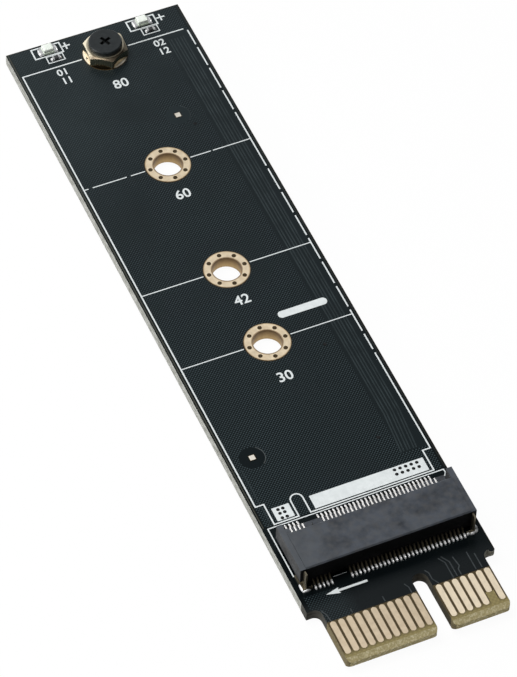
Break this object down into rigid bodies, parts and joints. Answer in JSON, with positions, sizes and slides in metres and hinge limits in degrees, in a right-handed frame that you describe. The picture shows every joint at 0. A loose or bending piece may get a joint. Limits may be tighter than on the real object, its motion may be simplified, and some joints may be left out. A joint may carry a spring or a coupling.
{
  "type": "nvme adapter card",
  "caption": "Long black circuit board with a gold card-edge tongue, a low module socket, a row of plated module holes and a hex standoff with its screw.",
  "frame": {"origin": "under the middle of the card's outline, at the level of the lower screw's head", "axes": "+Y along the card from the tongue to the far end, +Z out of the component side"},
  "size_m": [0.0232, 0.0992, 0.0055],
  "materials": {
    "board": "satin black lacquer over glass laminate",
    "ring_metal": "gold plate, satin",
    "edge_gold": "gold plate, satin",
    "socket_plastic": "moulded, fine matte",
    "pin_gold": "gold-flashed spring strip",
    "tinned": "tinned, satin",
    "brass": "turned, bright",
    "black_screw": "black plated, semi-gloss",
    "lamp_base": "white resin",
    "lamp_lens": "milky clear resin",
    "resistor_ceramic": "dark glaze"
  },
  "bodies": {
    "root": {"circuit_board": "board", "plated_hole_30": "ring_metal", "plated_hole_42": "ring_metal", "plated_hole_60": "ring_metal", "plated_hole_80": "ring_metal", "edge_contacts_top": "edge_gold", "edge_contacts_bottom": "edge_gold", "alignment_pads": "ring_metal", "socket_housing": "socket_plastic", "socket_upper_contacts": "pin_gold", "socket_lower_contacts": "pin_gold", "hold_down_left": "tinned", "hold_down_right": "tinned", "socket_solder_pads": "tinned", "hex_standoff": "brass", "module_screw": "black_screw", "standoff_screw": "black_screw", "lamp_left_base": "lamp_base", "lamp_left_terminals": "tinned", "lamp_left_lens": "lamp_lens", "lamp_right_base": "lamp_base", "lamp_right_terminals": "tinned", "lamp_right_lens": "lamp_lens", "resistor_left_body": "resistor_ceramic", "resistor_left_caps": "tinned", "resistor_right_body": "resistor_ceramic", "resistor_right_caps": "tinned", "component_pads": "tinned"}
  },
  "joints": []
}
